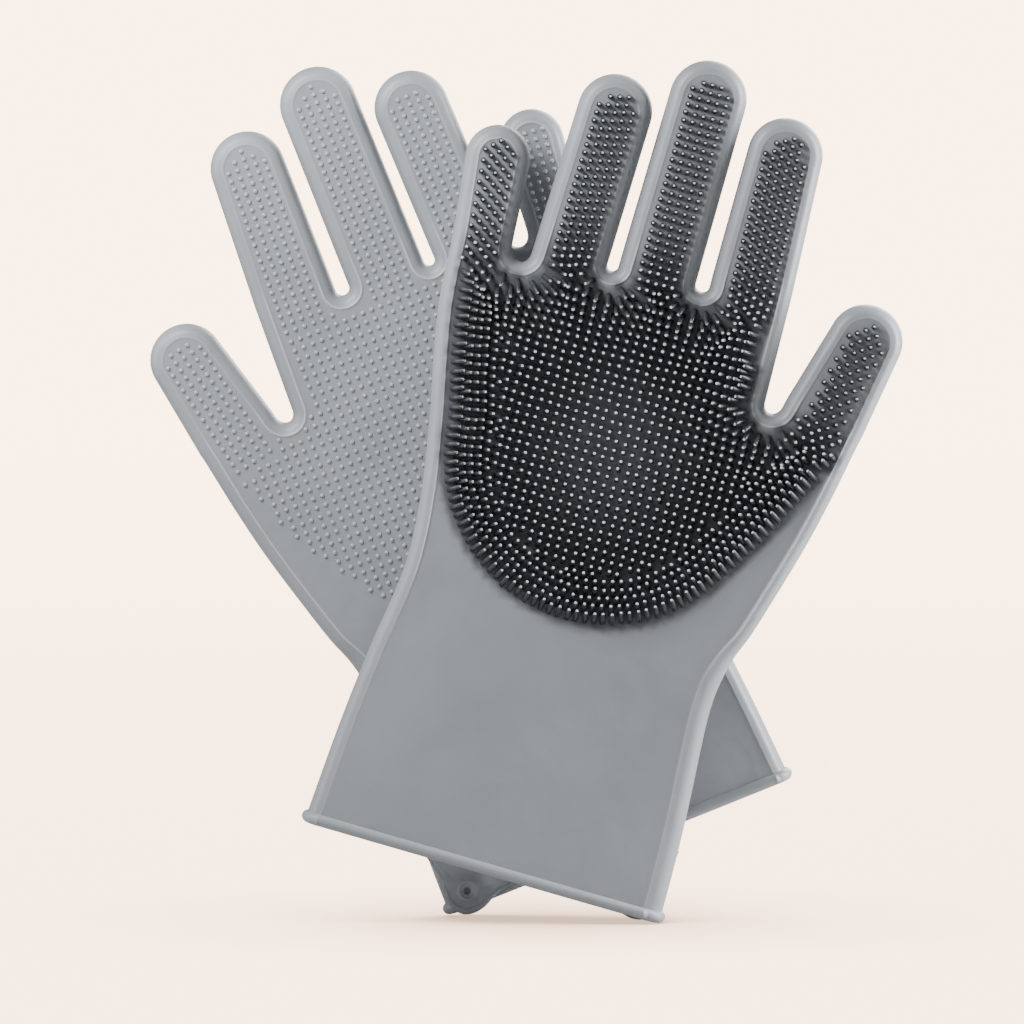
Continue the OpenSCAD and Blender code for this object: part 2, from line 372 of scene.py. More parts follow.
class Skin:
    """The hollow moulding: rounded side walls, raised lines and crowned panels.

    Each ridge ring holds how far in from the side wall it runs, its lift and its ridge mask, which
    the skin's finish shows as a painted highlight along the raised lines.
    """

    wall_rings = 9
    ridge_rings = ((0.2, 0.18, 0.5), (0.45, 0.36, 1.0), (0.75, 0.34, 1.0), (1.0, 0.13, 0.4),
                   (1.4, 0.01, 0.0), (2.1, 0.0, 0.0))

    def __init__(self, sizes: GloveSizes) -> None:
        """Works out the rings that run inwards from the silhouette.

        Args:
            sizes: The glove's sizes.
        """
        self.sizes = sizes
        self.outline = Outline(sizes)
        points = self.outline.points
        middle = len(points) // 2
        is_right = np.arange(len(points)) > middle
        on_cuff = 1 - smoothstep(*sizes.cuff_fade, points[:, 1])
        self.band = sizes.band + (sizes.cuff_band - sizes.band) * on_cuff * is_right
        self.ridge_strength = self._ridge_strength(on_cuff)
        self.rings: list[np.ndarray] = []
        self.heights: list[np.ndarray] = []
        self.masks: list[float] = []
        for angle in np.radians(np.linspace(0, 90, self.wall_rings)):
            inset = self.band * (1 - math.cos(angle) ** sizes.wall_power)
            height = sizes.half_t * math.sin(angle) ** sizes.wall_power
            self._ring(inset, np.full(len(points), height), 0.0)
        for inward, lift, mask in self.ridge_rings:
            self._ring(self.band + inward, sizes.half_t + lift * self.ridge_strength, mask)
        self.panel = self.rings[-1]

    def _ridge_strength(self, on_cuff: np.ndarray) -> np.ndarray:
        """How strong the raised line is along the outline: full at the webs, faint on digits."""
        strength = 1 - 0.6 * on_cuff
        for (first, last), digit in zip(self.outline.cuts, self.sizes.digits):
            strength[first + 4 : last - 3] = digit.ridge
        kernel = np.hanning(11)
        padded = np.pad(strength, 5, mode="edge")
        return np.convolve(padded, kernel / kernel.sum(), mode="valid")

    def _ring(self, inset: np.ndarray, height: np.ndarray, mask: float) -> None:
        """Adds one ring, at an inset and height for each point of the outline."""
        self.rings.append(self.outline.offset(inset))
        self.heights.append(height)
        self.masks.append(mask)

    def panel_height(self, points: np.ndarray) -> np.ndarray:
        """Height of the panel's surface above the parting plane at points inside it."""
        sizes, depth = self.sizes, distance(points, self.panel)
        crown = sizes.crown * smoothstep(0, sizes.crown_reach, depth)
        wave = np.sin(points[:, 0] / 19.0 + 0.6) * np.sin(points[:, 1] / 27.0 + 1.1)
        return sizes.half_t + crown + sizes.wave * wave * smoothstep(*sizes.wave_reach, depth)

    def _cut_line(self, first: int, last: int) -> np.ndarray:
        """Points straight across a digit from one side of the panel to the other, ends left out."""
        a, b = self.panel[first], self.panel[last]
        count = max(3, int(np.linalg.norm(b - a) / self.sizes.grid))
        return np.array([a + (b - a) * t for t in np.linspace(0, 1, count + 1)[1:-1]])

    def _fill(self, loop: np.ndarray,
              digit: Digit | None) -> tuple[np.ndarray, list[tuple[int, ...]]]:
        """Triangles over a panel.

        Args:
            loop: The panel's closed edge.
            digit: The digit that the grid follows, or None for the hand.

        Returns:
            The inner points, and faces that number the loop's points first.
        """
        grid = self.sizes.grid
        low, high = loop.min(axis=0) - grid, loop.max(axis=0) + grid
        if digit is None:
            rows = np.arange(low[1], high[1], grid * 0.866)
            cells = [(x + (i % 2) * grid / 2, z) for i, z in enumerate(rows)
                     for x in np.arange(low[0], high[0], grid)]
        else:
            fine = grid * 0.6
            cells = [tuple(digit.at(s, n)) for s in np.arange(-8, digit.length, fine)
                     for n in np.arange(-20, 20.1, grid)]
        points = np.array(cells)
        points = points[inside(points, loop)]
        closed = np.vstack([loop, loop[:1]])
        points = points[distance(points, closed) > grid * 0.45]
        everything = np.vstack([loop, points])
        edges = [(i, (i + 1) % len(loop)) for i in range(len(loop))]
        result = delaunay_2d_cdt([Vector(p) for p in everything], edges, [], 1, 1e-6)
        if len(result[0]) != len(everything):
            LOG.warning("panel points changed: %d to %d", len(everything), len(result[0]))
        origin = [ids[0] for ids in result[3]]
        faces = [tuple(origin[v] for v in face) for face in result[2]]
        return points, faces

    def _build(self, runs: list[tuple[int, int]], loop_parts: list[np.ndarray],
               digit: Digit | None) -> SkinMesh:
        """One piece of skin, both halves.

        Args:
            runs: First and last outline points of each stretch of side wall.
            loop_parts: For each stretch, the panel's points that join it to the next.
            digit: The digit, or None for the hand.

        Returns:
            The piece's mesh data.
        """
        vertices: list[np.ndarray] = []
        ridge: list[float] = []
        faces: list[tuple[int, ...]] = []

        def add_panel(points: np.ndarray, side: int) -> list[int]:
            """Adds points at the panel's height and returns their numbers."""
            start = len(vertices)
            for point, height in zip(points, self.panel_height(points)):
                vertices.append(np.array([point[0], side * height, point[1]]))
                ridge.append(0.0)
            return list(range(start, len(vertices)))

        for side in (Side.PALM.value, Side.BACK.value):
            loop: list[int] = []
            loop_points: list[np.ndarray] = []
            for (first, last), joint in zip(runs, loop_parts):
                span = np.arange(first, last + 1)
                base = len(vertices)
                width = len(span)
                for ring, height, mask in zip(self.rings, self.heights, self.masks):
                    for k in span:
                        vertices.append(np.array([ring[k, 0], side * height[k], ring[k, 1]]))
                        ridge.append(mask * self.ridge_strength[k])
                for r in range(len(self.rings) - 1):
                    for c in range(width - 1):
                        a = base + r * width + c
                        quad = (a, a + width, a + width + 1, a + 1)
                        faces.append(quad[::-1] if side > 0 else quad)
                top = base + (len(self.rings) - 1) * width
                loop += list(range(top, top + width))
                loop_points += [self.panel[k] for k in span]
                loop += add_panel(joint, side)
                loop_points += list(joint)
            points, triangles = self._fill(np.array(loop_points), digit)
            ids = loop + add_panel(points, side)
            for tri in triangles:
                tri = tuple(ids[v] for v in tri)
                a, b, c = (vertices[v] for v in tri)
                up = np.cross(b - a, c - a)[1]
                faces.append(tri if up * side > 0 else tri[::-1])
        return SkinMesh(np.array(vertices), faces, np.array(ridge))

    def hand(self) -> SkinMesh:
        """The cuff and hand in one piece, cut off at each digit."""
        cuts = self.outline.cuts
        last = len(self.outline.points) - 1
        starts = [0] + [c[1] for c in cuts]
        ends = [c[0] for c in cuts] + [last]
        runs = list(zip(starts, ends))
        mouth = [self.panel[last] + (self.panel[0] - self.panel[last]) * t
                 for t in np.linspace(0, 1, 48)[1:-1]]
        joints = [self._cut_line(*c) for c in cuts] + [np.array(mouth)]
        return self._build(runs, joints, None)

    def digit(self, i: int) -> SkinMesh:
        """The skin of one digit, from its cut to its tip."""
        first, last = self.outline.cuts[i]
        back = self._cut_line(first, last)[::-1]
        return self._build([(first, last)], [back], self.sizes.digits[i])


# --- Finishes ------------------------------------------------------------------------------------


def socket(node: bpy.types.Node, name: str, outputs: bool = False) -> bpy.types.NodeSocket:
    """The node's visible socket of that name."""
    found = [s for s in (node.outputs if outputs else node.inputs) if s.name == name and s.enabled]
    return found[0]


@dataclass
class Wiring:
    """A node tree, with short ways to add to it."""

    tree: bpy.types.NodeTree

    @classmethod
    def group(cls, name: str, kind: str, inputs: dict[str, str],
              outputs: dict[str, str]) -> Wiring:
        """A new node group.

        Args:
            name: Its name.
            kind: Its type of tree.
            inputs: The type of each input, by name.
            outputs: The type of each output, by name.

        Returns:
            The group's wiring.
        """
        tree = bpy.data.node_groups.new(name, kind)
        for way, sockets in (("INPUT", inputs), ("OUTPUT", outputs)):
            for label, value in sockets.items():
                tree.interface.new_socket(label, in_out=way, socket_type="NodeSocket" + value)
        return cls(tree)

    def feed(self, node: bpy.types.Node, inputs: dict[str | int, object]) -> None:
        """Sets a node's inputs, by name or number, to values or to other nodes' outputs."""
        for key, value in inputs.items():
            target = node.inputs[key] if isinstance(key, int) else socket(node, key)
            if isinstance(value, bpy.types.NodeSocket):
                self.tree.links.new(value, target)
            else:
                target.default_value = value

    def add(self, kind: str, inputs: dict[str | int, object] | None = None,
            **settings: object) -> bpy.types.Node:
        """A new node.

        Args:
            kind: Its type.
            inputs: What its inputs are fed with.
            **settings: Its own settings, which are made first.

        Returns:
            The node.
        """
        node = self.tree.nodes.new(kind)
        for name, value in settings.items():
            setattr(node, name, value)
        self.feed(node, inputs or {})
        return node

    def maths(self, operation: str, first: object, second: object) -> bpy.types.NodeSocket:
        """The result of an operation on two numbers."""
        return self.add("ShaderNodeMath", {0: first, 1: second}, operation=operation).outputs[0]

    def mix(self, factor: object, first: object, second: object) -> bpy.types.NodeSocket:
        """A colour between two others."""
        node = self.add("ShaderNodeMix", data_type="RGBA")
        self.feed(node, {"Factor": factor, "A": first, "B": second})
        return socket(node, "Result", True)

    def mask(self, name: str) -> bpy.types.NodeSocket:
        """A mesh's own attribute, read by a material."""
        return self.add("ShaderNodeAttribute", attribute_name=name).outputs["Fac"]

    def show(self, light: object, seen: object, end: bpy.types.Node) -> None:
        """Lights the scene with one shader and shows the camera another.

        Args:
            light: The shader that every other ray meets.
            seen: The shader that the camera sees.
            end: The output node.
        """
        path = self.add("ShaderNodeLightPath")
        both = self.add("ShaderNodeMixShader", {0: path.outputs["Is Camera Ray"], 1: light,
                                                2: seen})
        self.feed(end, {"Surface": both.outputs[0]})


def silicone_grain() -> bpy.types.NodeTree:
    """A node group: the mottled colour, soft ripples and fine grain that all silicone shares."""
    name = "SiliconeGrain"
    if name in bpy.data.node_groups:
        return bpy.data.node_groups[name]
    group = Wiring.group(name, "ShaderNodeTree",
                         {"Colour": "Color", "Mottle": "Float", "Grain": "Float",
                          "Ripple": "Float"},
                         {"Colour": "Color", "Mask": "Float", "Normal": "Vector"})
    into = group.add("NodeGroupInput").outputs
    place = group.add("ShaderNodeTexCoord").outputs["Object"]

    def noise(scale: float, detail: float, distortion: float = 0.0) -> bpy.types.NodeSocket:
        """Noise over the surface, from 0 to 1."""
        return group.add("ShaderNodeTexNoise", {"Vector": place, "Scale": scale, "Detail": detail,
                                                "Distortion": distortion}).outputs["Fac"]

    clouds, speckle, folds = noise(22.0, 4.0), noise(900.0, 2.0), noise(95.0, 1.0, 0.4)
    swing = group.add("ShaderNodeMapRange", {"Value": clouds, "From Min": 0.3, "From Max": 0.7,
                                             "To Min": -1.0})
    change = group.maths("MULTIPLY", swing.outputs["Result"], into["Mottle"])
    tint = group.add("ShaderNodeHueSaturation", {"Value": group.maths("ADD", change, 1.0),
                                                 "Color": into["Colour"]})
    ripple = group.add("ShaderNodeBump", {"Distance": 0.0006, "Strength": into["Ripple"],
                                          "Height": folds})
    bump = group.add("ShaderNodeBump", {"Distance": 0.0001, "Strength": into["Grain"],
                                        "Height": speckle, "Normal": ripple.outputs["Normal"]})
    group.add("NodeGroupOutput", {"Colour": tint.outputs["Color"], "Mask": clouds,
                                  "Normal": bump.outputs["Normal"]})
    return group.tree


@dataclass(frozen=True)
class Silicone:
    """A silicone finish.

    The colour turns towards its highlight colour, a painted highlight, as the named attribute goes
    from 0 to 1, as on the thin raised lines, up the dots or up the length of a bristle. Where a
    shade colour is given, it turns towards that, a painted shade, where the attribute patch is 1,
    among the roots of the bristles.
    """

    name: str
    colour: tuple[float, float, float]
    painted_highlight_colour: tuple[float, float, float]
    attribute: str
    ramp: tuple[float, float] = (0.0, 1.0)
    roughness: float = 0.45
    mottle: float = 0.04
    grain: float = 0.25
    ripple: float = 0.5
    roughness_swing: float = 0.05
    sheen: float = 0.1
    specular: float = 0.5
    painted_shade_colour: tuple[float, float, float] | None = None

    def material(self) -> bpy.types.Material:
        """The material, made on first use."""
        if self.name in bpy.data.materials:
            return bpy.data.materials[self.name]
        made = bpy.data.materials.new(self.name)
        made.use_nodes = True
        made.diffuse_color = (*self.colour, 1.0)
        wiring = Wiring(made.node_tree)
        # Painted highlight: the colour turns lighter along the named attribute.
        low, high = self.ramp
        share = wiring.add("ShaderNodeMapRange", {"Value": wiring.mask(self.attribute),
                                                  "From Min": low, "From Max": high},
                           interpolation_type="SMOOTHSTEP")
        colour = wiring.mix(share.outputs["Result"], (*self.colour, 1.0), (*self.painted_highlight_colour, 1.0))
        # Painted shade: the skin turns darker among the bristles' roots, where the patch mask is 1.
        if self.painted_shade_colour:
            colour = wiring.mix(wiring.mask("patch"), colour, (*self.painted_shade_colour, 1.0))
        grain = wiring.add("ShaderNodeGroup", {"Colour": colour, "Mottle": self.mottle,
                                               "Grain": self.grain, "Ripple": self.ripple},
                           node_tree=silicone_grain())
        gloss = wiring.add("ShaderNodeMapRange", {"Value": grain.outputs["Mask"],
                                                  "To Min": self.roughness - self.roughness_swing,
                                                  "To Max": self.roughness + self.roughness_swing})
        wiring.feed(made.node_tree.nodes["Principled BSDF"], {
            "Base Color": grain.outputs["Colour"],
            "Normal": grain.outputs["Normal"],
            "Roughness": gloss.outputs["Result"],
            "Specular IOR Level": self.specular,
            "Sheen Weight": self.sheen,
            "Sheen Roughness": 0.5,
        })
        return made


GREY = (0.275, 0.295, 0.32)
RIM_GREY = (0.285, 0.305, 0.33)
# Painted highlight: the pale tips of the bristles stand in for the lamps' glint on their domes.
PAINTED_TIP_HIGHLIGHT = (0.78, 0.81, 0.84)
# The skin's lighter colour along the raised lines is a painted highlight, and its dark colour among
# the bristles' roots painted shade.
SKIN = Silicone("silicone_skin", GREY, (0.45, 0.47, 0.50), "ridge", mottle=0.07,
                painted_shade_colour=(0.07, 0.076, 0.087))
RIM = Silicone("silicone_rim", RIM_GREY, RIM_GREY, "ridge", mottle=0.02)
# The bristles' near-black bodies are painted shade over the same grey silicone, and their pale tips
# a painted highlight.
SHADED_BRISTLE = Silicone("silicone_bristle", (0.042, 0.046, 0.053), PAINTED_TIP_HIGHLIGHT, "rise", (0.955, 1.0),
                   roughness=0.28, mottle=0.02, grain=0.1, ripple=0.0, sheen=0.0, specular=0.4)
SHADED_STUBBLE = Silicone("silicone_short_bristle", (0.022, 0.025, 0.03), PAINTED_TIP_HIGHLIGHT, "rise",
                   (0.968, 1.0), roughness=0.32, mottle=0.02, grain=0.1, ripple=0.0, sheen=0.0,
                   specular=0.3)
# The dots turn lighter towards their tops: a painted highlight.
DOT = Silicone("silicone_dot", GREY, (0.36, 0.385, 0.41), "rise", mottle=0.02, ripple=0.0)


# --- Bristles and dots ---------------------------------------------------------------------------


@dataclass
class StudField:
    """Where one body's studs stand, in millimetres: their roots, directions and lengths."""

    points: np.ndarray
    leans: np.ndarray
    lengths: np.ndarray


@dataclass(frozen=True)
class StudShape:
    """The outline of one bristle or dot as its rings from root to tip, in shares of its size."""

    name: str
    heights: tuple[float, ...]
    widths: tuple[float, ...]
    sides: int
    radius: float

    def _by_share(self, studs: Wiring, share: bpy.types.NodeSocket,
                  values: tuple[float, ...]) -> bpy.types.NodeSocket:
        """A value for each ring.

        Args:
            studs: The tree.
            share: Each ring's share of the way up.
            values: The value at each ring, from root to tip.

        Returns:
            The socket that gives it.
        """
        node = studs.add("ShaderNodeFloatCurve", {"Value": share})
        knots = node.mapping.curves[0].points
        knots[0].location = (0.0, values[0])
        knots[1].location = (1.0, values[-1])
        for i, value in enumerate(values[1:-1], 1):
            knots.new(i / (len(values) - 1), value)
        for knot in knots:
            knot.handle_type = "VECTOR"
        node.mapping.update()
        return node.outputs[0]

    def tree(self) -> bpy.types.NodeTree:
        """The node tree that sets one stud on each point, along its lean and of its length."""
        name = "Studs_" + self.name
        if name in bpy.data.node_groups:
            return bpy.data.node_groups[name]
        studs = Wiring.group(name, "GeometryNodeTree",
                             {"Geometry": "Geometry", "Sides": "Int", "Radius": "Float",
                              "Material": "Material"}, {"Geometry": "Geometry"})
        into = studs.add("NodeGroupInput").outputs
        tube = studs.add("GeometryNodeMeshCylinder",
                         {"Vertices": into["Sides"], "Side Segments": len(self.heights) - 1,
                          "Radius": 1.0, "Depth": 1.0}, fill_type="TRIANGLE_FAN")
        position = studs.add("GeometryNodeInputPosition").outputs[0]
        at = studs.add("ShaderNodeSeparateXYZ", {0: position}).outputs
        share = studs.maths("ADD", at["Z"], 0.5)
        width = self._by_share(studs, share, self.widths)
        placed = studs.add("ShaderNodeCombineXYZ",
                           {"X": studs.maths("MULTIPLY", at["X"], width),
                            "Y": studs.maths("MULTIPLY", at["Y"], width),
                            "Z": self._by_share(studs, share, self.heights)})
        shaped = studs.add("GeometryNodeSetPosition", {"Geometry": tube.outputs["Mesh"],
                                                       "Position": placed.outputs[0]})
        marked = studs.add("GeometryNodeStoreNamedAttribute", data_type="FLOAT", domain="POINT")
        studs.feed(marked, {"Geometry": shaped.outputs[0], "Name": "rise", "Value": at["Z"]})
        lean = studs.add("GeometryNodeInputNamedAttribute", {"Name": "lean"},
                         data_type="FLOAT_VECTOR")
        length = studs.add("GeometryNodeInputNamedAttribute", {"Name": "length"},
                           data_type="FLOAT")
        turned = studs.add("FunctionNodeAlignRotationToVector",
                           {"Vector": socket(lean, "Attribute", True)}, axis="Z")
        size = studs.add("ShaderNodeCombineXYZ", {"X": into["Radius"], "Y": into["Radius"],
                                                  "Z": socket(length, "Attribute", True)})
        copies = studs.add("GeometryNodeInstanceOnPoints",
                           {"Points": into["Geometry"], "Instance": marked.outputs[0],
                            "Rotation": turned.outputs[0], "Scale": size.outputs[0]})
        real = studs.add("GeometryNodeRealizeInstances", {0: copies.outputs[0]})
        smooth = studs.add("GeometryNodeSetShadeSmooth", {"Geometry": real.outputs[0]})
        coat = studs.add("GeometryNodeSetMaterial", {"Geometry": smooth.outputs[0],
                                                     "Material": into["Material"]})
        studs.add("NodeGroupOutput", {0: coat.outputs[0]})
        return studs.tree

    def mesh(self, spot: StudField, finish: Silicone) -> bpy.types.Mesh:
        """The studs as one plain mesh.

        Args:
            spot: Where they stand.
            finish: Their finish.

        Returns:
            The mesh, in metres.
        """
        base = bpy.data.meshes.new(self.name + "_points")
        base.from_pydata((spot.points * MM).tolist(), [], [])
        base.attributes.new("lean", "FLOAT_VECTOR", "POINT").data.foreach_set(
            "vector", spot.leans.astype(np.float32).ravel())
        base.attributes.new("length", "FLOAT", "POINT").data.foreach_set(
            "value", (spot.lengths * MM).astype(np.float32))
        holder = bpy.data.objects.new(self.name + "_holder", base)
        bpy.context.scene.collection.objects.link(holder)
        studs = holder.modifiers.new("Studs", "NODES")
        studs.node_group = self.tree()
        values = {"Sides": self.sides, "Radius": self.radius * MM, "Material": finish.material()}
        for item in studs.node_group.interface.items_tree:
            if item.in_out == "INPUT" and item.name in values:
                studs[item.identifier] = values[item.name]
        bpy.context.view_layer.update()
        graph = bpy.context.evaluated_depsgraph_get()
        made = bpy.data.meshes.new_from_object(holder.evaluated_get(graph))
        holder.modifiers.clear()
        bpy.data.objects.remove(holder)
        bpy.data.meshes.remove(base)
        for name in ("lean", "length"):
            if name in made.attributes:
                made.attributes.remove(made.attributes[name])
        return made


LONG_BRISTLE = StudShape("bristle", (0.0, 0.45, 0.86, 0.95, 0.988, 1.0),
                         (1.14, 0.98, 0.86, 0.7, 0.42, 0.18), 8, 1.1)
SHORT_BRISTLE = StudShape("short_bristle", (0.0, 0.5, 0.8, 0.93, 0.985, 1.0),
                          (1.12, 1.02, 0.9, 0.66, 0.36, 0.16), 8, 1.14)
GRIP_DOT = StudShape("dot", (0.0, 0.5, 0.82, 1.0), (1.15, 0.98, 0.66, 0.25), 10, 1.0)


@dataclass(frozen=True)
class StudSizes:
    """How bristles and dots are set out, in millimetres and degrees.

    The patch ends below in an arc round patch_centre and then a line to_thumb. Bristles fan
    outwards near its border, less where they fan upwards, and stand calm below each digit.
    """

    inset: float = 7.2
    run_on: int = 3
    root_gap: float = 0.6
    sunk: float = 0.25
    patch_centre: tuple[float, float] = (3.0, 177.0)
    patch_r: float = 68.5
    patch_arc: tuple[float, float] = (180.0, 318.0)
    to_thumb: tuple[tuple[float, float], ...] = ((70.5, 157.0), (84.3, 185.0), (97.0, 213.0))
    bristle_grid: tuple[float, float] = (4.0, 3.85)
    dot_grid: tuple[float, float] = (4.0, 4.0)
    border_count: int = 5
    border_gap: float = 3.8
    fill_gap: float = 3.2
    fill_step: float = 0.7
    crowding: float = 0.8
    dot_length: float = 1.1
    short_length: float = 3.9
    root_gain: float = 1.8
    long_length: float = 7.4
    calm_loss: float = 1.7
    lift: float = 0.1
    fan: float = 46.0
    fan_up_loss: float = 16.0
    fan_start: float = 3.0
    fan_depth: float = 17.0
    edge_inset: float = 4.5
    edge_gap: float = 3.0
    wobble: float = 2.0
    short_jitter: float = 0.06
    long_jitter: float = 0.1
    place_jitter: float = 0.14


class StudLayout:
    """Sets out bristles on the palm and dots on the back."""

    def __init__(self, skin: Skin, how: StudSizes = StudSizes(), seed: int = 7) -> None:
        """Prepares the region that both share.

        Args:
            skin: The skin on which the studs stand.
            how: How they are set out.
            seed: Start of the small random offsets.
        """
        self.skin = skin
        self.sizes = skin.sizes
        self.how = how
        self.random = np.random.default_rng(seed)
        turn = np.radians(np.linspace(*how.patch_arc, 60))
        arc = np.column_stack([np.cos(turn), np.sin(turn)]) * how.patch_r + how.patch_centre
        stretch = spline([tuple(arc[-1]), *how.to_thumb], 3.0)
        self.lower = np.vstack([[(-110, 360)], [(-110, 205)], [(-70, 195)], arc, stretch,
                                [(125, 300)], [(60, 360)]])

    def _keep(self, points: np.ndarray, inset: float) -> np.ndarray:
        """Which points are inside the patch and far enough in from the silhouette."""
        outline = self.skin.outline.points
        return (inside(points, outline) & (distance(points, outline) > inset)
                & inside(points, self.lower))

    def _on_hand(self, points: np.ndarray) -> np.ndarray:
        """Which points lie below every digit's cut."""
        keep = np.ones(len(points), bool)
        for digit in self.sizes.digits:
            along, over = digit.local(points)
            keep &= ~((along > self.sizes.cut) & (np.abs(over) < digit.root_r + 1.5))
        return keep

    def digit_points(self, digit: Digit, rows: Rows) -> np.ndarray:
        """Columns along a digit, as its rows say."""
        cells = []
        for c in range(rows.columns):
            over = (c - (rows.columns - 1) / 2) * rows.across
            start = (self.sizes.cut + self.how.root_gap
                     + (c * rows.shift % 1 - self.how.run_on) * rows.pitch)
            cells += [digit.at(s, over) for s in np.arange(start, digit.length, rows.pitch)]
        points = np.array(cells)
        return points[self._keep(points, digit.stud_inset)]

    def _split(self, digit: Digit, points: np.ndarray) -> tuple[np.ndarray, np.ndarray]:
        """Parts a digit's points into those on it and those that run on below it."""
        below = digit.local(points)[0] < self.sizes.cut
        return points[~below], points[below & self._on_hand(points)]

    def _with_run_on(self, points: np.ndarray, taken: list[np.ndarray]) -> np.ndarray:
        """The hand's points with those that run on below each digit."""
        return np.vstack([points] + taken[1::2])

    def _clear(self, points: np.ndarray, taken: np.ndarray, gap: float) -> np.ndarray:
        """The points that are on the hand and at least a gap away from those taken."""
        points = points[self._on_hand(points)]
        far = np.empty(len(points), bool)
        for start in range(0, len(points), 2048):
            away = points[start : start + 2048, None] - taken[None]
            far[start : start + 2048] = np.hypot(away[..., 0], away[..., 1]).min(axis=1) > gap
        return points[far]

    def _cells(self, across: float, pitch: float, top: float) -> np.ndarray:
        """A square grid over the hand, up to a height, that keeps in from the silhouette."""
        x, z = np.meshgrid(np.arange(-80, 110, across), np.arange(100, top, pitch))
        points = np.column_stack([x.ravel(), z.ravel()])
        return points[self._keep(points, self.how.inset)]

    def hand_points(self, grid: tuple[float, float], taken: np.ndarray) -> np.ndarray:
        """A square grid over the hand.

        Args:
            grid: Spacing over the hand and along it.
            taken: Points already used, which these keep clear of.

        Returns:
            The points.
        """
        return self._clear(self._cells(*grid, 270), taken, min(grid) * self.how.crowding)

    def border_rows(self, taken: np.ndarray) -> np.ndarray:
        """Rows that follow the lower edge of the palm's patch, from its outermost inwards.

        Args:
            taken: Points on the digits, which these keep clear of.

        Returns:
            The points.
        """
        gap = self.how.border_gap
        line, inward = self._border()
        kept = taken
        for k in range(self.how.border_count):
            row = line + inward * (0.5 + k * gap)
            walk = walked(row)
            at = np.arange(gap / 2, walk[-1], gap)
            cells = np.column_stack([np.interp(at, walk, row[:, i]) for i in (0, 1)])
            cells = cells[self._keep(cells, self.how.inset - 0.5)]
            kept = np.vstack([kept, self._clear(cells, kept, gap * self.how.crowding)])
        return kept[len(taken):]

    def gap_points(self, taken: np.ndarray) -> np.ndarray:
        """Points that fill the gaps left between the rows and the grid.

        Args:
            taken: Points already used, which these keep clear of.

        Returns:
            The points.
        """
        gap, step = self.how.fill_gap, self.how.fill_step
        found: list[np.ndarray] = []
        for cell in self._clear(self._cells(step, step, 262), taken, gap):
            if all(np.hypot(*(cell - other)) > gap for other in found):
                found.append(cell)
        return np.array(found).reshape(-1, 2)

    def _border(self) -> tuple[np.ndarray, np.ndarray]:
        """The lower edge of the palm's patch, from the little finger round to the thumb.

        Returns:
            Points every 2 mm, and the unit vectors that point into the patch.
        """
        outline = self.skin.outline.offset(self.how.inset)
        left = outline[(outline[:, 0] < -60) & (outline[:, 1] > 190) & (outline[:, 1] < 243)]
        line = np.vstack([left[::-1], self.lower[3:-2]])
        walk = walked(line)
        even = np.arange(0, walk[-1], 2.0)
        kernel = np.hanning(13) / np.hanning(13).sum()
        padded = [np.pad(np.interp(even, walk, line[:, i]), 6, "edge") for i in (0, 1)]
        line = np.column_stack([np.convolve(values, kernel, "valid") for values in padded])
        return line, leftwards(line)

    def _edge(self) -> np.ndarray:
        """Points just outside the palm's patch, left out where digits leave it."""
        outline = self.skin.outline.offset(self.how.edge_inset)
        webs = outline[self._on_hand(outline) & (outline[:, 1] > 150) & (outline[:, 0] > -65)]
        webs = webs[inside(webs, self.lower)]
        line, inward = self._border()
        return np.vstack([webs, line - inward * self.how.edge_gap])

    def _calm(self, points: np.ndarray) -> np.ndarray:
        """1 where bristles stand upright below a digit, where the patch runs on into it."""
        calm = np.zeros(len(points))
        for digit in self.sizes.digits:
            along, over = digit.local(points)
            across = 1 - smoothstep(0.5, 0.95, np.abs(over) / digit.root_r)
            calm = np.maximum(calm, smoothstep(-24, -7, along) * across)
        return calm

    def stand(self, points: np.ndarray, side: Side, lengths: np.ndarray,
              tilts: np.ndarray, towards: np.ndarray, lift: float = 0.0) -> StudField:
        """Studs on the skin's panel.

        Args:
            points: Their places in the plane.
            side: The face that they stand on.
            lengths: Their lengths.
            tilts: Their angles from upright, in radians.
            towards: Unit vectors in the plane in which they tilt.
            lift: How far all of them lean towards the fingertips, as a share of their length.

        Returns:
            The field.
        """
        height = self.skin.panel_height(points) - self.how.sunk
        roots = np.column_stack([points[:, 0], side.value * height, points[:, 1]])
        leans = np.column_stack([towards[:, 0] * np.sin(tilts), side.value * np.cos(tilts),
                                 towards[:, 1] * np.sin(tilts) + lift])
        return StudField(roots, leans, lengths)

    def _wobble(self, count: int) -> np.ndarray:
        """Small random angles from upright, in degrees."""
        return np.abs(self.random.normal(0, self.how.wobble, count))

    def _fan(self, points: np.ndarray) -> tuple[np.ndarray, np.ndarray]:
        """How the hand's bristles turn away from the border of the patch.

        Args:
            points: Their places in the plane.

        Returns:
            Their unit vectors away from it, and their distances to it.
        """
        edge = self._edge()
        away = points[:, None] - edge[None]
        gap = np.sqrt((away * away).sum(axis=2))
        depth = gap.min(axis=1)
        pull = np.exp((depth[:, None] - gap) / 6.0) / gap
        push = (away * pull[..., None]).sum(axis=1)
        return push / np.linalg.norm(push, axis=1)[:, None], depth

